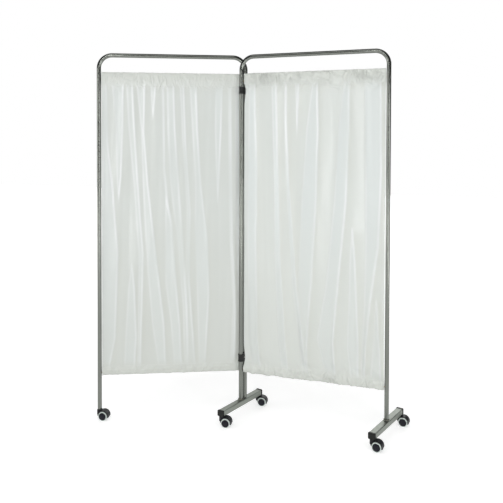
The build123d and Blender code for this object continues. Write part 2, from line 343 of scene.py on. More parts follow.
def group_of(name, inputs, outputs):
    """A shader node group with its sockets, as (tree, input node, output node)."""
    tree = bpy.data.node_groups.new(name, "ShaderNodeTree")
    for socket, kind, value in inputs:
        made = tree.interface.new_socket(name=socket, in_out="INPUT", socket_type=kind)
        if value is not None:
            made.default_value = value
    for socket, kind in outputs:
        tree.interface.new_socket(name=socket, in_out="OUTPUT", socket_type=kind)
    return tree, tree.nodes.new("NodeGroupInput"), tree.nodes.new("NodeGroupOutput")


def node_of(tree, kind, values=None, **settings):
    """A node with its input values, by name or number, and its settings."""
    node = tree.nodes.new(kind)
    for setting, value in settings.items():
        setattr(node, setting, value)
    for socket, value in (values or {}).items():
        if isinstance(value, bpy.types.NodeSocket):
            tree.links.new(value, node.inputs[socket])
        else:
            node.inputs[socket].default_value = value
    return node


def mottle_group():
    """Soft patches of slightly lighter and darker colour, with a fine grain on top."""
    tree, given, out = group_of(
        "Mottle",
        [("Vector", "NodeSocketVector", None), ("Color", "NodeSocketColor", None),
         ("Patch scale", "NodeSocketFloat", 6.0), ("Grain scale", "NodeSocketFloat", 900.0),
         ("Amount", "NodeSocketFloat", 0.1)],
        [("Color", "NodeSocketColor"), ("Mask", "NodeSocketFloat"), ("Grain", "NodeSocketFloat")],
    )
    vector = given.outputs["Vector"]
    patch = node_of(tree, "ShaderNodeTexNoise",
                    {"Vector": vector, "Scale": given.outputs["Patch scale"], "Detail": 4.0})
    grain = node_of(tree, "ShaderNodeTexNoise",
                    {"Vector": vector, "Scale": given.outputs["Grain scale"], "Detail": 2.0})
    both = node_of(tree, "ShaderNodeMath", {0: patch.outputs["Fac"], 1: grain.outputs["Fac"]},
                   operation="ADD")
    centred = node_of(tree, "ShaderNodeMath", {0: both.outputs[0], 1: 1.0}, operation="SUBTRACT")
    scaled = node_of(tree, "ShaderNodeMath", {0: centred.outputs[0], 1: given.outputs["Amount"]},
                     operation="MULTIPLY")
    factor = node_of(tree, "ShaderNodeMath", {0: scaled.outputs[0], 1: 1.0}, operation="ADD")
    colour = node_of(tree, "ShaderNodeVectorMath",
                     {0: given.outputs["Color"], 1: factor.outputs[0]}, operation="MULTIPLY")
    tree.links.new(colour.outputs[0], out.inputs["Color"])
    tree.links.new(patch.outputs["Fac"], out.inputs["Mask"])
    tree.links.new(grain.outputs["Fac"], out.inputs["Grain"])
    return tree


def brushed_group():
    """Fine scratches drawn out along the vector's Y, as values round a half."""
    tree, given, out = group_of(
        "Brushed lines",
        [("Vector", "NodeSocketVector", None), ("Across", "NodeSocketFloat", 2600.0),
         ("Along", "NodeSocketFloat", 14.0)],
        [("Lines", "NodeSocketFloat"), ("Bands", "NodeSocketFloat")],
    )
    across = given.outputs["Across"]
    stretch = node_of(tree, "ShaderNodeCombineXYZ", {"X": across, "Y": given.outputs["Along"], "Z": across})
    drawn = node_of(tree, "ShaderNodeVectorMath", {0: given.outputs["Vector"], 1: stretch.outputs[0]},
                    operation="MULTIPLY")
    lines = node_of(tree, "ShaderNodeTexNoise", {"Vector": drawn.outputs[0], "Scale": 1.0, "Detail": 3.0})
    bands = node_of(tree, "ShaderNodeTexNoise", {"Vector": drawn.outputs[0], "Scale": 0.06, "Detail": 2.0})
    tree.links.new(lines.outputs["Fac"], out.inputs["Lines"])
    tree.links.new(bands.outputs["Fac"], out.inputs["Bands"])
    return tree


mottle = mottle_group()
brushed = brushed_group()


def shader_of(name):
    """A new material, as (material, tree, principled shader, coordinates)."""
    material = bpy.data.materials.new(name)
    material.use_nodes = True
    tree = material.node_tree
    return material, tree, tree.nodes["Principled BSDF"], tree.nodes.new("ShaderNodeTexCoord")


def spread(tree, value, low, high):
    """A value from 0 to 1 drawn out over low to high."""
    node = node_of(tree, "ShaderNodeMapRange", {"Value": value, "To Min": low, "To Max": high})
    return node.outputs["Result"]


def mottled(tree, place, shader, colour, amount, patch_scale, grain_scale=900.0):
    """Gives a shader a mottled base colour, laid over the object's own coordinates."""
    patches = node_of(tree, "ShaderNodeGroup",
                      {"Vector": place.outputs["Object"], "Color": colour, "Amount": amount,
                       "Patch scale": patch_scale, "Grain scale": grain_scale}, node_tree=mottle)
    tree.links.new(patches.outputs["Color"], shader.inputs["Base Color"])
    return patches


def steel(name, colour, low, high, source, amount=0.05, bump=0.02, across=2600.0, along=14.0):
    """Satin steel, brushed along Y of its coordinates."""
    material, tree, shader, place = shader_of(name)
    lines = node_of(tree, "ShaderNodeGroup",
                    {"Vector": place.outputs[source], "Across": across, "Along": along}, node_tree=brushed)
    mottled(tree, place, shader, (*colour, 1), amount, patch_scale=9.0)
    tree.links.new(spread(tree, lines.outputs["Bands"], low, high), shader.inputs["Roughness"])
    relief = node_of(tree, "ShaderNodeBump", {"Strength": bump, "Distance": relief_depth,
                                              "Height": lines.outputs["Lines"]})
    tree.links.new(relief.outputs["Normal"], shader.inputs["Normal"])
    shader.inputs["Metallic"].default_value = 1.0
    return material


def plastic(name, colour, low, high, amount=0.25, specular=0.5):
    """Moulded plastic with a fine grain."""
    material, tree, shader, place = shader_of(name)
    patches = mottled(tree, place, shader, (*colour, 1), amount, patch_scale=40.0, grain_scale=1600.0)
    tree.links.new(spread(tree, patches.outputs["Mask"], low, high), shader.inputs["Roughness"])
    relief = node_of(tree, "ShaderNodeBump", {"Strength": 0.12, "Distance": relief_depth,
                                              "Height": patches.outputs["Grain"]})
    tree.links.new(relief.outputs["Normal"], shader.inputs["Normal"])
    shader.inputs["Specular IOR Level"].default_value = specular
    return material


def blend_of(tree, attribute, low, high):
    """A colour that goes from low to high with one of the mesh's own attributes."""
    value = node_of(tree, "ShaderNodeAttribute", {}, attribute_name=attribute)
    mix = node_of(tree, "ShaderNodeMix", {}, data_type="RGBA")
    tree.links.new(value.outputs["Fac"], mix.inputs["Factor"])
    for socket, colour in (("A", low), ("B", high)):
        inner = [one for one in mix.inputs if one.name == socket and one.type == "RGBA"][0]
        if isinstance(colour, bpy.types.NodeSocket):
            tree.links.new(colour, inner)
        else:
            inner.default_value = (*colour, 1)
    return [one for one in mix.outputs if one.type == "RGBA"][0]


def vinyl(name, valley_shade_colour, ridge_light_colour, warm_shade_colour, crest_highlight_colour):
    """White coated cloth: a soft gloss, faint creases and a very fine emboss, with painted shade in the fold
    hollows, a warmer painted shade low down and in the pockets, and painted highlight lines along the fold
    edges.
    """
    material, tree, shader, place = shader_of(name)
    # Painted shade and light: hollow to fold colour, then the warmer painted shade, then the painted
    # highlight lines, all read from the mesh's attributes
    painted_colour = blend_of(tree, "Painted warm shade", blend_of(tree, "Painted fold shade", valley_shade_colour, ridge_light_colour), warm_shade_colour)
    painted_colour = blend_of(tree, "Painted crest highlight", painted_colour, crest_highlight_colour)
    patches = mottled(tree, place, shader, painted_colour, 0.030, patch_scale=5.0, grain_scale=1500.0)
    tree.links.new(spread(tree, patches.outputs["Mask"], 0.28, 0.40), shader.inputs["Roughness"])
    stretch = node_of(tree, "ShaderNodeMapping", {"Vector": place.outputs["Object"],
                                                  "Scale": wrinkle_stretch})
    creases = node_of(tree, "ShaderNodeTexNoise", {"Vector": stretch.outputs["Vector"], "Scale": 1.0,
                                                   "Detail": 3.0})
    wrinkle = node_of(tree, "ShaderNodeBump", {"Strength": 0.10, "Distance": wrinkle_depth,
                                               "Height": creases.outputs["Fac"]})
    emboss = node_of(tree, "ShaderNodeBump", {"Strength": 0.06, "Distance": relief_depth,
                                              "Height": patches.outputs["Grain"],
                                              "Normal": wrinkle.outputs["Normal"]})
    tree.links.new(emboss.outputs["Normal"], shader.inputs["Normal"])
    shader.inputs["Specular IOR Level"].default_value = 0.40
    shader.inputs["Coat Weight"].default_value = 0.20
    shader.inputs["Coat Roughness"].default_value = 0.12
    return material


tube_steel = steel("Tube steel", (0.195, 0.205, 0.187), 0.11, 0.16, "UV", bump=0.002)
bar_steel = steel("Foot bar steel", (0.295, 0.318, 0.285), 0.44, 0.56, "Object", across=900.0, along=900.0)
weld_steel = steel("Weld bead", (0.24, 0.235, 0.20), 0.38, 0.52, "Object", amount=0.4)
zinc = steel("Zinc plate", (0.60, 0.60, 0.58), 0.28, 0.40, "Object", across=700.0, along=700.0)
brass = steel("Brass plate", (0.55, 0.40, 0.16), 0.25, 0.38, "Object", across=700.0, along=700.0)
black_plastic = plastic("Black moulding", (0.010, 0.011, 0.009), 0.42, 0.56, specular=0.25)
clip_plastic = plastic("Clip moulding", (0.009, 0.010, 0.009), 0.36, 0.50, specular=0.35)
hood_plastic = plastic("Castor hood", (0.010, 0.010, 0.013), 0.38, 0.50, specular=0.25)
hub_plastic = plastic("Wheel hub", (0.008, 0.008, 0.014), 0.32, 0.44, specular=0.22)
tyre_rubber = plastic("Soft tread", (0.66, 0.73, 0.69), 0.55, 0.70, amount=0.12)
wire_coat = plastic("Wire coating", (0.80, 0.81, 0.79), 0.35, 0.5, amount=0.08)
thread = plastic("Seam thread", (0.76, 0.77, 0.75), 0.6, 0.8, amount=0.1)
# Its colours: painted shade in the hollows, painted light on the folds, warmer painted shade, painted
# highlight lines
curtain_vinyl = vinyl("White vinyl", (0.655, 0.680, 0.640), (0.700, 0.740, 0.725), (0.630, 0.650, 0.600),
                      (0.815, 0.835, 0.835))

cad_finishes = {
    "frame_tube": tube_steel, "foot_bar": bar_steel, "black_fitting": black_plastic,
    "hinge_clip": clip_plastic, "screw": zinc, "curtain": curtain_vinyl, "curtain_wire": wire_coat,
    "curtain_hook": brass, "castor_stem": zinc, "castor_hood": hood_plastic, "castor_axle": zinc,
    "wheel_hub": hub_plastic, "wheel_tyre": tyre_rubber,
}
for row in frame["record"]["subparts"]:
    cad_mesh = nodes[row["node"]].data
    cad_mesh.materials.clear()
    cad_mesh.materials.append(cad_finishes[row["material_slot"]])


# Frame tubes

def tube_unwrap(bm, inner_bottom):
    """Lays the tube out flat: X round the tube and Y along it, in metres."""
    layer = bm.loops.layers.uv.new("Unwrapped")
    bend_low = rail_height - bend_radius
    rise = bend_low - inner_bottom
    quarter = math.pi / 2 * bend_radius
    rail = leg_spacing - 2 * bend_radius

    def laid(point):
        if point.z < bend_low:
            outer = point.x > leg_spacing / 2
            aside = point.x - (leg_spacing if outer else 0)
            along = rise + 2 * quarter + rail + (bend_low - point.z) if outer else point.z - inner_bottom
            return math.atan2(point.y, -aside if outer else aside), along
        if bend_radius < point.x < leg_spacing - bend_radius:
            return math.atan2(point.y, rail_height - point.z), rise + quarter + point.x - bend_radius
        outer = point.x > leg_spacing / 2
        from_x = (point.x - leg_spacing + bend_radius) if outer else (bend_radius - point.x)
        from_z = point.z - bend_low
        turn = math.atan2(from_z, from_x)
        inward = bend_radius - math.hypot(from_x, from_z)
        along = rise + turn * bend_radius
        if outer:
            along = rise + quarter + rail + (math.pi / 2 - turn) * bend_radius
        return math.atan2(point.y, inward), along

    for face in bm.faces:
        middle_turn = laid(face.calc_center_median())[0]
        for loop in face.loops:
            turn, along = laid(loop.vert.co)
            if turn - middle_turn > math.pi:
                turn -= 2 * math.pi
            if middle_turn - turn > math.pi:
                turn += 2 * math.pi
            loop[layer].uv = (turn * tube_radius, along)


def extrude_ring(bm, edges, step):
    """Draws a ring of edges out in a straight line, and gives its new end."""
    made = bmesh.ops.extrude_edge_only(bm, edges=edges)["geom"]
    verts = [item for item in made if isinstance(item, bmesh.types.BMVert)]
    bmesh.ops.translate(bm, verts=verts, vec=step)
    return [item for item in made if isinstance(item, bmesh.types.BMEdge)]


def spin_ring(bm, edges, centre, axis, turn, steps):
    """Draws a ring of edges round a bend, and gives its new end."""
    verts = list({vert for edge in edges for vert in edge.verts})
    made = bmesh.ops.spin(bm, geom=verts + edges, cent=centre, axis=axis, dvec=(0, 0, 0), angle=turn,
                          steps=steps, use_merge=False, use_duplicate=False)["geom_last"]
    return [item for item in made if isinstance(item, bmesh.types.BMEdge)]


def spin_whole(bm, steps):
    """Spins all that is drawn once round the Z axis."""
    bmesh.ops.spin(bm, geom=list(bm.verts) + list(bm.edges), cent=(0, 0, 0), axis=(0, 0, 1),
                   dvec=(0, 0, 0), angle=2 * math.pi, steps=steps, use_merge=True, use_duplicate=False)


def bent_frame(name, place, inner_bottom, outer_bottom, body, node):
    """An upside-down U of round tube: up the inner leg, over two bends and down the outer leg."""
    bm = bmesh.new()
    ring = bmesh.ops.create_circle(bm, cap_ends=False, radius=tube_radius, segments=tube_sides)["verts"]
    bmesh.ops.translate(bm, verts=ring, vec=(0, 0, inner_bottom))
    edges = list(bm.edges)
    bend_low = rail_height - bend_radius
    edges = extrude_ring(bm, edges, (0, 0, bend_low - inner_bottom))
    edges = spin_ring(bm, edges, (bend_radius, 0, bend_low), (0, 1, 0), math.pi / 2, bend_steps)
    edges = extrude_ring(bm, edges, (leg_spacing - 2 * bend_radius, 0, 0))
    centre = (leg_spacing - bend_radius, 0, bend_low)
    edges = spin_ring(bm, edges, centre, (0, 1, 0), math.pi / 2, bend_steps)
    extrude_ring(bm, edges, (0, 0, outer_bottom - bend_low))
    bmesh.ops.remove_doubles(bm, verts=bm.verts, dist=merge_gap)
    bmesh.ops.holes_fill(bm, edges=bm.edges, sides=0)
    bmesh.ops.recalc_face_normals(bm, faces=bm.faces)
    tube_unwrap(bm, inner_bottom)
    bmesh.ops.transform(bm, matrix=place, verts=bm.verts)
    piece = finish_piece(name, bm, tube_steel, body)
    piece.data.set_sharp_from_angle(angle=tube_crease)
    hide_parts(node)


foot_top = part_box("middle_foot_bar")[1][2]
foot_crown = foot_top - tube_overlap
wing_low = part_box("wing_frame_tube")[0][2]
plug_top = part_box("wing_leg_plug")[0][2] + tube_overlap
bent_frame("main_tube", main_place, foot_crown, foot_crown, "main_panel", "main_frame_tube")
bent_frame("wing_tube", wing_place, plug_top, wing_low, "wing_panel", "wing_frame_tube")


def weld_ring(name, place):
    """A rippled bead of weld round the foot of a leg."""
    bm = bmesh.new()
    section = bmesh.ops.create_circle(bm, cap_ends=False, radius=weld_radius, segments=weld_sides)["verts"]
    bmesh.ops.rotate(bm, verts=section, matrix=Matrix.Rotation(math.pi / 2, 3, "X"))
    bmesh.ops.translate(bm, verts=section, vec=(weld_ring_radius, 0, 0))
    spin_whole(bm, weld_beads * bead_steps)
    for vert in bm.verts:
        turn = math.atan2(vert.co.y, vert.co.x)
        ripple = bead_swell * abs(math.sin(turn * weld_beads / 2))
        ripple += weld_roughness * noise.noise(vert.co * weld_grain)
        ring = Vector((math.cos(turn), math.sin(turn), 0)) * weld_ring_radius
        vert.co += (vert.co - ring) * ripple
    bmesh.ops.recalc_face_normals(bm, faces=bm.faces)
    bmesh.ops.transform(bm, matrix=place, verts=bm.verts)
    finish_piece(name, bm, weld_steel, "main_panel")


outer_leg = main_place @ Matrix.Translation((leg_spacing, 0, 0))
for leg_name, leg_place in (("inner", main_place), ("outer", outer_leg)):
    weld_ring(leg_name + "_leg_weld", leg_place @ Matrix.Translation((0, 0, foot_top + weld_radius / 2)))


# Folds of the two curtains. Each fold is (lift, [(share down the cloth, left edge, right edge)]), its
# edges as shares of the panel's width from its inner leg.

main_folds = [
    (0.0070, [(0.0, 0.060, 0.105), (0.3, 0.052, 0.120), (0.55, 0.052, 0.116), (0.9, 0.065, 0.130),
              (1.0, 0.09, 0.15)]),
    (0.0065, [(0.0, 0.222, 0.256), (0.3, 0.238, 0.268), (0.6, 0.245, 0.285), (0.9, 0.275, 0.325),
              (1.0, 0.30, 0.345)]),
    (0.0050, [(0.0, 0.315, 0.325), (0.12, 0.312, 0.326), (0.35, 0.325, 0.346), (0.7, 0.370, 0.400),
              (1.0, 0.445, 0.475)]),
    (0.0040, [(0.0, 0.388, 0.412), (0.10, 0.396, 0.404), (0.2, 0.400, 0.400)]),
    (0.0080, [(0.0, 0.502, 0.540), (0.15, 0.465, 0.548), (0.4, 0.435, 0.535), (0.7, 0.412, 0.505),
              (0.9, 0.430, 0.480), (1.0, 0.470, 0.485)]),
    (0.0080, [(0.0, 0.715, 0.750), (0.15, 0.680, 0.750), (0.4, 0.655, 0.735), (0.7, 0.600, 0.685),
              (0.88, 0.545, 0.655), (1.0, 0.600, 0.670)]),
    (0.0055, [(0.48, 0.775, 0.775), (0.6, 0.760, 0.795), (0.75, 0.755, 0.808), (0.9, 0.745, 0.820),
              (1.0, 0.77, 0.82)]),
    (0.0085, [(0.0, 0.850, 0.955), (0.3, 0.858, 0.962), (0.55, 0.862, 0.945), (0.75, 0.856, 0.895),
              (0.9, 0.845, 0.868), (1.0, 0.840, 0.862)]),
    (0.0060, [(0.72, 0.935, 0.935), (0.85, 0.918, 0.950), (0.95, 0.905, 0.965), (1.0, 0.900, 0.968)]),
]
wing_folds = [
    (0.0065, [(0.0, 0.048, 0.068), (0.5, 0.040, 0.062), (0.8, 0.022, 0.042), (1.0, 0.018, 0.036)]),
    (0.0060, [(0.0, 0.098, 0.118), (0.3, 0.094, 0.112), (0.55, 0.085, 0.104), (0.8, 0.062, 0.082),
              (1.0, 0.07, 0.10)]),
    (0.0070, [(0.0, 0.158, 0.206), (0.15, 0.166, 0.208), (0.35, 0.182, 0.198), (0.44, 0.190, 0.190)]),
    (0.0065, [(0.0, 0.338, 0.382), (0.15, 0.330, 0.366), (0.35, 0.306, 0.344), (0.55, 0.262, 0.348),
              (0.75, 0.250, 0.330), (1.0, 0.275, 0.318)]),
    (0.0055, [(0.0, 0.424, 0.450), (0.2, 0.410, 0.432), (0.45, 0.378, 0.402), (0.7, 0.385, 0.420),
              (1.0, 0.345, 0.390)]),
    (0.0055, [(0.0, 0.492, 0.538), (0.15, 0.484, 0.534), (0.35, 0.458, 0.515), (0.55, 0.430, 0.470),
              (0.8, 0.400, 0.428), (1.0, 0.395, 0.420)]),
    (0.0042, [(0.0, 0.560, 0.574), (0.3, 0.552, 0.566), (0.42, 0.530, 0.545), (0.5, 0.50, 0.505)]),
    (0.0070, [(0.38, 0.548, 0.548), (0.5, 0.506, 0.550), (0.7, 0.478, 0.550), (0.85, 0.452, 0.512),
              (1.0, 0.438, 0.490)]),
    (0.0055, [(0.0, 0.616, 0.648), (0.06, 0.624, 0.644), (0.12, 0.634, 0.636)]),
    (0.0075, [(0.0, 0.690, 0.742), (0.08, 0.692, 0.728), (0.16, 0.696, 0.712), (0.35, 0.668, 0.702),
              (0.6, 0.615, 0.680), (0.85, 0.560, 0.640), (1.0, 0.548, 0.600)]),
    (0.0065, [(0.0, 0.772, 0.812), (0.15, 0.758, 0.798), (0.35, 0.736, 0.764), (0.6, 0.700, 0.732),
              (1.0, 0.72, 0.74)]),
    (0.0070, [(0.0, 0.834, 0.908), (0.15, 0.838, 0.884), (0.32, 0.850, 0.878), (0.42, 0.866, 0.866)]),
    (0.0065, [(0.62, 0.780, 0.780), (0.72, 0.760, 0.802), (0.9, 0.748, 0.822), (1.0, 0.760, 0.830)]),
    (0.0060, [(0.0, 0.948, 0.970), (0.2, 0.940, 0.972), (0.35, 0.908, 0.975), (0.6, 0.872, 0.982),
              (0.9, 0.892, 0.982), (1.0, 0.930, 0.975)]),
]


def folds_at(folds, height, facing):
    """The folds that pass a height, as (lift, slow edge, steep edge) in metres."""
    down = min(max((header_seam - height) / (header_seam - hem_seam), 0.0), 1.0)
    depth = between(depth_shares, down)
    passing = []
    for lift, rows in folds:
        if rows[0][0] <= down <= rows[-1][0]:
            left = between([(row[0], row[1]) for row in rows], down) * leg_spacing
            right = between([(row[0], row[2]) for row in rows], down) * leg_spacing
            width = right - left
            wide = min(1.0, least_width_share + width / wide_fold)
            lift *= depth * smooth_share(width / narrow_fold) * wide
            passing.append((lift, left, right) if facing < 0 else (lift, right, left))
    return passing


def fold_shape(passing, across):
    """How far the cloth stands out over its folds, their painted shade and the painted highlight along their
    edges.

    The painted shade goes from -1 in a hollow to 1 on a fold, and the painted highlight from 0 to 1.
    """
    total, fold_shading, shoulder_highlight = 0.0, 0.0, 0.0
    for lift, slow, steep in passing:
        turned = 1 if steep > slow else -1
        offset = (across - slow) * turned
        past = (across - steep) * turned
        if offset < -fold_rise or lift == 0.0:
            continue
        width = max(abs(steep - slow), least_fold)
        rise = smooth_share((offset + fold_rise) / (2 * fold_rise))
        crown = rise * (slow_height + crown_gain * min(max(offset / width, 0.0), 1.0))
        crown += fold_lip * rise * math.exp(-((past + fold_crest) / fold_crest) ** 2)
        drop = smooth_share((past + fold_crest) / (2 * fold_crest))
        tail = math.exp(-max(past, 0.0) / fold_tail)
        total += lift * (crown * (1 - drop) + tail_height * tail * drop)
        # Painted light on each fold and painted shade in the hollow after its steep edge
        fold_shading += min(1.0, lift / toned_lift) * (rise * (1 - drop) - valley_painted_shade * drop * tail)
        # Painted highlight lines along both edges of each fold
        steep_line = math.exp(-((past + fold_crest) / crest_width) ** 2)
        slow_line = math.exp(-(offset / crest_width) ** 2)
        shoulder_highlight += min(1.0, lift / crested_lift) * (steep_line + slow_crest * slow_line)
    return total, min(max(fold_shading, -1.0), 1.0), min(shoulder_highlight, 1.0)


def wave(across, height, pattern, seed):
    """Smooth noise at a place on the cloth, drawn out as its pattern says."""
    pitch, lean, down, own_seed = pattern
    return noise.noise(Vector((across * pitch + height * lean, height * down, seed + own_seed)))


def line_wave(across, pattern, seed):
    """Smooth noise along a line across the cloth."""
    pitch, own_seed = pattern
    return noise.noise(Vector((across * pitch, seed, own_seed)))


def crease(across, height, lean, seed):
    """One family of sharp creases that lean over, from 0 on flat cloth to 1 on a crease."""
    turn = lean + crease_wander * wave(across, height, wander_noise, seed)
    over = across * math.cos(turn) - height * math.sin(turn)
    along = across * math.sin(turn) + height * math.cos(turn)
    value = noise.noise(Vector((over * crease_pitch, along * crease_length, seed)))
    return max(0.0, 1 - abs(value) * crease_sharpness) ** crease_falloff


def puckers(across, height, seed):
    """Creases that cross each other, where the cloth is gathered on its seam."""
    patch = smooth_share(patch_middle + patch_spread * wave(across, height, patch_noise, seed))
    one = crease(across, height, crease_lean, seed)
    two = crease(across, height, counter_lean, seed + counter_seed)
    swell = wave(across, height, swell_noise, seed)
    return one * patch + two * (crease_overlap - patch) + swell_share * swell


def pocket_gap(height):
    """How far apart the two layers of a pocket stand at a height."""
    if height > header_seam:
        middle, half = (header_seam + curtain_top) / 2, (curtain_top - header_seam) / 2
    else:
        middle, half = (hem_seam + curtain_bottom) / 2, (hem_seam - curtain_bottom) / 2
    share = min(abs(height - middle) / half, 1.0)
    toward_edge = height > middle if height > header_seam else height < middle
    if toward_edge:
        return 2 * pocket_half * math.sqrt(1 - share * share)
    return pocket_pinch + (2 * pocket_half - pocket_pinch) * smooth_share(1 - share)


def fan(passing, across, off):
    """Creases that spread into a pocket from the shoulders of each fold."""
    total = 0.0
    for lift, one, other in passing:
        spread_out = fan_lean if other > one else -fan_lean
        for edge, lean in ((one, -spread_out), (other, spread_out)):
            width = fan_width + fan_spread * off
            total += lift * math.exp(-((across - edge - lean * off) / width) ** 2)
    return fan_share * total * max(0.0, 1 - off / fan_reach)


def front_lift(passing, across, height, seed, folded, pucker):
    """How far the front of the cloth stands out of its panel's plane, folded being its folds' height."""
    above = height - header_seam
    below = hem_seam - height
    if above > 0 or below > 0:
        off = max(above, below)
        fade = fold_share * math.exp(-off / fold_fade)
        return (pocket_gap(height) / 2 + fade * folded + fan(passing, across, off)
                + pucker * puckers(across, height, seed) * min(1.0, seam_pucker + off / pucker_growth))
    uneven = start_uneven * line_wave(across, start_noise, seed)
    start = smooth_share((uneven - above) / fold_start)
    ease = fold_share + (1 - fold_share) * start * smooth_share((uneven - below) / hem_start)
    sway = wave(across, height, sway_noise, seed)
    ripple = wave(across, height, ripple_noise, seed)
    near = math.exp(above / pucker_reach) + math.exp(below / (hem_pucker_share * pucker_reach))
    lift = pocket_pinch / 2 + ease * (folded + sway_depth * sway + ripple_depth * ripple)
    lift += fan(passing, across, 0.0) * math.exp(above / fan_fade)
    return lift + pucker * seam_pucker * min(near, 1.0) * puckers(across, height, seed)


def inner_edge(panel, height):
    """How far the cloth's inner edge stands off its own leg."""
    if panel == "wing":
        return wing_inner_edge
    edge = main_inner_edge
    for clip_height in clip_heights:
        edge += clip_room * math.exp(-((height - clip_height) / clip_reach) ** 2)
    for wire_height, reach in wire_reaches:
        edge -= (edge - wire_edge) * math.exp(-((height - wire_height) / reach) ** 2)
    return edge


def outer_edge(height):
    """How far the cloth's slightly wavy outer edge stands from the axis of the inner leg."""
    slack = outer_wave * math.sin(height * outer_wave_pitch)
    slack += outer_ripple * math.sin(height * outer_ripple_pitch)
    return leg_spacing - outer_gap - max(0.0, slack)


def graded(low, high, fine, coarse, reach):
    """Places from low to high, closer together near both ends."""
    places = [low]
    while places[-1] < high:
        room = min(places[-1] - low, high - places[-1])
        places.append(places[-1] + fine + (coarse - fine) * smooth_share(room / reach))
    scale = (high - low) / (places[-1] - low)
    return [low + (place - low) * scale for place in places]


def cloth_rows():
    """The rows of a curtain as (height, layer), from the back of its header to the back of its hem."""
    header = graded(header_seam, curtain_top, *header_steps)
    field = graded(hem_seam, header_seam, *field_steps)
    hem = graded(curtain_bottom, hem_seam, *hem_steps)
    rows = [(height, "back") for height in header]
    rows += [(height, "front") for height in reversed(header[:-1])]
    rows += [(height, "front") for height in reversed(field[:-1])]
    rows += [(height, "front") for height in reversed(hem[:-1])]
    return rows + [(height, "back") for height in hem[1:]]


def edge_ripple(across, height, seed):
    """The slightly wavy line of the folded top and bottom edges."""
    line = line_wave(across, edge_noise, seed) + fine_edge_share * line_wave(across, fine_edge_noise, seed)
    top = math.exp(-((curtain_top - height) / edge_reach) ** 2)
    bottom = math.exp(-((height - curtain_bottom) / edge_reach) ** 2)
    return line * (bottom_wave * bottom - top_wave * top) - top_drop * top


def painted_shade_ease(height):
    """How strongly the painted fold shade and painted highlights show at a height, fading into both pockets.
    """
    header = smooth_share((header_seam + tone_overlap - height) / header_tone_fade)
    return header * smooth_share((height - hem_seam + tone_overlap) / hem_tone_fade)


def warm_painted_shade(height):
    """Painted shade, warmer and darker: more toward the hem, and where the cloth is doubled."""
    low = low_painted_shade * smooth_share((low_painted_shade_start - height) / low_painted_shade_reach)
    top = header_painted_shade * smooth_share((height - header_seam + header_painted_shade_start) / header_painted_shade_reach)
    hem = hem_painted_shade * smooth_share((hem_seam + hem_painted_shade_start - height) / hem_painted_shade_reach)
    return low + top + hem


def curtain_sheet(panel, place, front, folds, pucker, body, seed):
    """One panel's cloth in one piece: back of the header, over the top, down the front, round the hem."""
    rows = cloth_rows()
    shares = graded(0.0, 1.0, side_column, column_pitch / leg_spacing, column_reach)
    bm = bmesh.new()
    bmesh.ops.create_grid(bm, x_segments=len(shares) - 1, y_segments=len(rows) - 1, size=1.0)
    fold_shade_layer = bm.verts.layers.float.new("Painted fold shade")
    warm_shade_layer = bm.verts.layers.float.new("Painted warm shade")
    crest_highlight_layer = bm.verts.layers.float.new("Painted crest highlight")
    passing = [folds_at(folds, height, front) for height, _ in rows]
    for vert in bm.verts:
        share = shares[round((vert.co.x + 1) / 2 * (len(shares) - 1))]
        index = round((vert.co.y + 1) / 2 * (len(rows) - 1))
        height, layer = rows[index]
        left, right = inner_edge(panel, height), outer_edge(height)
        across = left + (right - left) * share
        folded, fold_shading, shoulder_highlight = fold_shape(passing[index], across)
        lift = front_lift(passing[index], across, height, seed, folded, pucker)
        if layer == "back":
            lift -= pocket_gap(height)
        # Painted shade and light of the folds, the painted highlights on their edges and the warmer painted
        # shade, kept on the mesh for the material
        vert[fold_shade_layer] = 0.5 + 0.5 * fold_shading * painted_shade_ease(height)
        highlight_patches = smooth_share(highlight_patch_middle + highlight_patch_spread * wave(across, height, highlight_patch_noise, seed))
        higher = smooth_share((height - low_crest_start) / low_crest_reach)
        clear = low_crest + high_crest_gain * higher
        vert[crest_highlight_layer] = shoulder_highlight * highlight_patches * painted_shade_ease(height) * clear
        vert[warm_shade_layer] = warm_painted_shade(height)
        side_hem = min(across - left, right - across)
        lift += side_hem_lift * (1 - smooth_share((side_hem - side_hem_width) / side_hem_slope))
        vert.co = Vector((across, front * lift, height + edge_ripple(across, height, seed)))
    bmesh.ops.transform(bm, matrix=place, verts=bm.verts)
    bmesh.ops.recalc_face_normals(bm, faces=bm.faces)
    piece = finish_piece(panel + "_curtain_cloth", bm, curtain_vinyl, body)
    thick = piece.modifiers.new("Thickness", "SOLIDIFY")
    thick.thickness = cloth
    thick.offset = 0
    apply_modifiers(piece)
    return piece


def stitch_rows(panel, place, front, folds, pucker, body, seed):
    """Short stitches along both seams, on both faces of the cloth."""
    bm = bmesh.new()
    for height in (header_seam, hem_seam):
        passing = folds_at(folds, height, front)
        start = inner_edge(panel, height) + stitch_pitch
        count = int((outer_edge(height) - stitch_pitch - start) / stitch_pitch)
        for index in range(count):
            across = start + index * stitch_pitch
            lift = front_lift(passing, across, height, seed, fold_shape(passing, across)[0], pucker)
            for offset in (cloth / 2, -pocket_gap(height) - cloth / 2):
                stitch = Matrix.Translation((across, front * (lift + offset), height))
                stitch = place @ stitch @ Matrix.Rotation(math.pi / 2, 4, "Y")
                bmesh.ops.create_cone(bm, cap_ends=True, segments=stitch_sides, radius1=stitch_radius,
                                      radius2=stitch_radius, depth=stitch_length, matrix=stitch)
    return finish_piece(panel + "_curtain_stitches", bm, thread, body)


def scaled(folds, share):
    """A panel's folds with their lifts made larger or smaller."""
    return [(lift * share, rows) for lift, rows in folds]


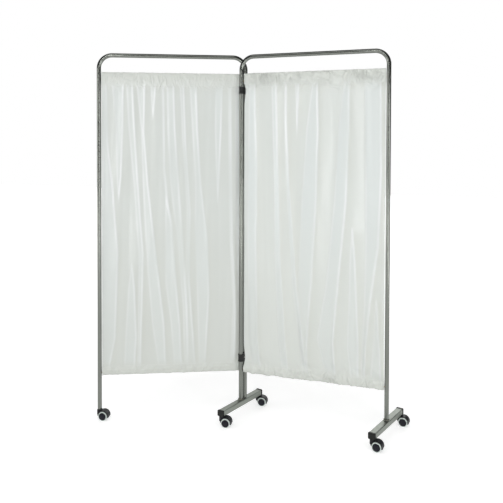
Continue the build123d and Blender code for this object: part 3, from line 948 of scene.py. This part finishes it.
for panel, place, front, folds, pucker, body, seed in (
    ("main", main_place, -1, scaled(main_folds, main_depth), main_pucker, "main_panel", 11.0),
    ("wing", wing_place, 1, scaled(wing_folds, wing_depth), wing_pucker, "wing_panel", 47.0),
):
    sheet = curtain_sheet(panel, place, front, folds, pucker, body, seed)
    stitches = stitch_rows(panel, place, front, folds, pucker, body, seed)
    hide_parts(panel + "_curtain")


# Moulded pieces, rounded from the shapes that the frame holds

def moulded(node, material, slot, voxel, passes):
    """A copy of a node's solid with its corners softened, as a mould leaves them."""
    bm = bmesh.new()
    bm.from_mesh(nodes[node].data)
    bmesh.ops.remove_doubles(bm, verts=bm.verts, dist=merge_gap)
    piece = finish_piece(node + "_moulding", bm, material, body_of[node])
    remesh = piece.modifiers.new("Even", "REMESH")
    remesh.mode = "VOXEL"
    remesh.voxel_size = voxel
    remesh.use_smooth_shade = True
    soften = piece.modifiers.new("Soften", "SMOOTH")
    soften.factor = 0.5
    soften.iterations = passes
    apply_modifiers(piece)
    for polygon in piece.data.polygons:
        polygon.use_smooth = True
    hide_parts(node)


castor_names = [name[: -len("_swivel")] for name in joints if name.endswith("_castor_swivel")]
for castor in castor_names:
    moulded(castor + "_hood", hood_plastic, "castor_hood", *castor_softening)
for clip in ("upper", "lower"):
    for side in ("front", "back"):
        moulded(clip + "_clip_" + side + "_shell", clip_plastic, "hinge_clip", *clip_softening)
for foot in ("middle_foot", "right_foot"):
    for end in ("near", "far"):
        moulded(foot + "_" + end + "_cap", black_plastic, "black_fitting", *castor_softening)


# Wheels

def spun_piece(name, outline, place, material, body):
    """A closed outline of (radius, along the axle) points, spun about the axle."""
    bm = bmesh.new()
    verts = [bm.verts.new((radius, 0, along)) for radius, along in outline]
    for one, two in zip(verts, verts[1:] + verts[:1]):
        bm.edges.new((one, two))
    spin_whole(bm, wheel_sides)
    bmesh.ops.remove_doubles(bm, verts=bm.verts, dist=wheel_merge_gap)
    bmesh.ops.recalc_face_normals(bm, faces=bm.faces)
    bmesh.ops.transform(bm, matrix=place, verts=bm.verts)
    piece = finish_piece(name, bm, material, body)
    piece.data.set_sharp_from_angle(angle=wheel_crease)
    return piece


def arc(centre, radius, start, end, steps):
    """Points on an arc in the outline's plane, from one turn to another in degrees."""
    turns = [math.radians(start + (end - start) * step / steps) for step in range(steps + 1)]
    return [(centre[0] + radius * math.cos(turn), centre[1] + radius * math.sin(turn)) for turn in turns]


def wheel(castor, side, sign):
    """One wheel: a soft tread on a dark disc with a shallow dish and a domed boss."""
    body = castor + "_" + side + "_wheel"
    low, high = (Vector(corner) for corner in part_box(castor + "_" + side + "_tyre"))
    spin = joints[body + "_spin"]
    axle = Vector(spin["axis"]) * sign
    swivel = Vector(spin["pos_m"])
    middle = (low + high) / 2
    wheel_radius = (high.z - low.z) / 2
    hub_low, hub_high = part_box(castor + "_" + side + "_hub")
    hub_radius = (hub_high[2] - hub_low[2]) / 2
    width = wheel_width
    inner_face = swivel + axle * (abs((middle - swivel).dot(axle)) - width / 2)
    place = Matrix.Translation(inner_face) @ axle.to_track_quat("Z", "Y").to_matrix().to_4x4()
    seat_radius = hub_radius - hub_seat
    hub = [(hub_axis, 0.0), (seat_radius, 0.0), (seat_radius, width - hub_wall_drop)]
    hub += arc((hub_radius - rim_inset, width - rim_drop), rim_round, 0, 90, rim_steps)
    hub += [(hub_radius - inward, width + outward) for inward, outward in hub_groove]
    for step in range(1, dome_steps + 1):
        share = step / dome_steps
        radius = (hub_radius - dish_inset) * (1 - share)
        hub.append((max(radius, hub_axis), width - dish_drop + dome_rise * math.sin(share * math.pi / 2)))
    disc = spun_piece(body + "_disc", hub, place, hub_plastic, body)
    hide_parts(castor + "_" + side + "_hub")
    tyre = [(hub_radius, tyre_start)]
    tyre += arc((wheel_radius - inner_round, inner_round_place), inner_round, *inner_round_turn,
                inner_round_steps)
    tyre += [(wheel_radius, along) for along in tread_flat]
    tyre += arc((wheel_radius - outer_round, width - outer_round_drop), outer_round, *outer_round_turn,
                outer_round_steps)
    tyre += [(hub_radius + tyre_lip, width - tyre_lip_drop), (hub_radius, width - tyre_end_drop)]
    tread = spun_piece(body + "_tread", tyre, place, tyre_rubber, body)
    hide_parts(castor + "_" + side + "_tyre")


for castor in castor_names:
    wheel(castor, "front", -1)
    wheel(castor, "back", 1)


# Floor, light and camera

def seen_white(tree):
    """1 for the camera's rays and for those of gloss and glass, which see the white studio."""
    path = tree.nodes.new("ShaderNodeLightPath")
    seen = node_of(tree, "ShaderNodeMath",
                   {0: path.outputs["Is Camera Ray"], 1: path.outputs["Is Glossy Ray"]}, operation="MAXIMUM")
    seen = node_of(tree, "ShaderNodeMath", {0: seen.outputs[0], 1: path.outputs["Is Transmission Ray"]},
                   operation="MAXIMUM")
    return path, seen.outputs[0]


def floor():
    """A matt pale floor that keeps the shadow and goes over into the white backdrop."""
    bm = bmesh.new()
    bmesh.ops.create_grid(bm, x_segments=1, y_segments=1, size=floor_size)
    mesh = bpy.data.meshes.new("Studio floor")
    bm.to_mesh(mesh)
    bm.free()
    material = bpy.data.materials.new("White floor")
    material.use_nodes = True
    tree = material.node_tree
    shader = tree.nodes["Principled BSDF"]
    shader.inputs["Base Color"].default_value = (floor_grey, floor_grey, floor_grey, 1)
    shader.inputs["Roughness"].default_value = floor_roughness
    shader.inputs["Specular IOR Level"].default_value = 0.0
    shader.inputs["Emission Color"].default_value = (1, 1, 1, 1)
    place = tree.nodes.new("ShaderNodeTexCoord")
    away = node_of(tree, "ShaderNodeVectorMath", {0: place.outputs["Object"]}, operation="LENGTH")
    lift = node_of(tree, "ShaderNodeMapRange",
                   {"Value": away.outputs["Value"], "From Min": floor_fade[0], "From Max": floor_fade[1],
                    "To Min": floor_lift, "To Max": 1.0})
    path, seen = seen_white(tree)
    near = node_of(tree, "ShaderNodeMath", {0: seen, 1: floor_lift}, operation="MULTIPLY")
    far = node_of(tree, "ShaderNodeMath", {0: path.outputs["Is Camera Ray"], 1: lift.outputs["Result"]},
                  operation="MULTIPLY")
    glow = node_of(tree, "ShaderNodeMath", {0: near.outputs[0], 1: far.outputs[0]}, operation="MAXIMUM")
    tree.links.new(glow.outputs[0], shader.inputs["Emission Strength"])
    mesh.materials.append(material)
    obj = bpy.data.objects.new("Studio floor", mesh)
    bpy.context.scene.collection.objects.link(obj)


def world():
    """A white backdrop, and a dim room at the sides for gloss and for the light."""
    made = bpy.data.worlds.new("Studio")
    made.use_nodes = True
    tree = made.node_tree
    background = tree.nodes["Background"]
    background.inputs["Color"].default_value = (1, 1, 1, 1)
    place = tree.nodes.new("ShaderNodeTexCoord")
    facing = node_of(tree, "ShaderNodeVectorMath", {0: place.outputs["Generated"], 1: backdrop_direction},
                     operation="DOT_PRODUCT")
    backdrop = node_of(tree, "ShaderNodeMapRange",
                       {"Value": facing.outputs["Value"], "From Min": backdrop_edge[0],
                        "From Max": backdrop_edge[1], "To Min": room_gloss, "To Max": 1.0})
    path, seen = seen_white(tree)
    gloss = node_of(tree, "ShaderNodeMix",
                    {"Factor": seen, "A": room_light, "B": backdrop.outputs["Result"]})
    strength = node_of(tree, "ShaderNodeMath",
                       {0: gloss.outputs["Result"], 1: path.outputs["Is Camera Ray"]}, operation="MAXIMUM")
    tree.links.new(strength.outputs[0], background.inputs["Strength"])
    bpy.context.scene.world = made


def soft_light(name, place, target, size, power):
    """A softbox at a place, turned to its target."""
    light = bpy.data.lights.new(name, "AREA")
    light.shape = "RECTANGLE"
    light.size, light.size_y = size
    light.energy = power
    obj = bpy.data.objects.new(name, light)
    obj.location = place
    obj.rotation_mode = "QUATERNION"
    obj.rotation_quaternion = (Vector(target) - Vector(place)).to_track_quat("-Z", "Y")
    bpy.context.scene.collection.objects.link(obj)


def camera():
    """The photograph's camera, set a little lower to keep the curtains in other views."""
    turn = math.radians(camera_azimuth)
    pitch = math.radians(camera_pitch)
    level = Vector((-math.sin(turn), math.cos(turn), 0))
    aside = Vector((math.cos(turn), math.sin(turn), 0))
    data = bpy.data.cameras.new("Camera")
    data.lens = camera_lens
    data.shift_y = camera_shift
    obj = bpy.data.objects.new("Camera", data)
    obj.location = main_leg - level * camera_distance + aside * camera_aside + Vector((0, 0, camera_height))
    look = level * math.cos(pitch) - Vector((0, 0, math.sin(pitch)))
    obj.rotation_mode = "QUATERNION"
    roll = Matrix.Rotation(-math.radians(camera_roll), 3, look)
    obj.rotation_quaternion = roll.to_quaternion() @ look.to_track_quat("-Z", "Y")
    bpy.context.scene.collection.objects.link(obj)
    bpy.context.scene.camera = obj


floor()
world()
for softbox in softboxes:
    soft_light(*softbox)
camera()
bpy.context.scene.view_settings.view_transform = "Standard"
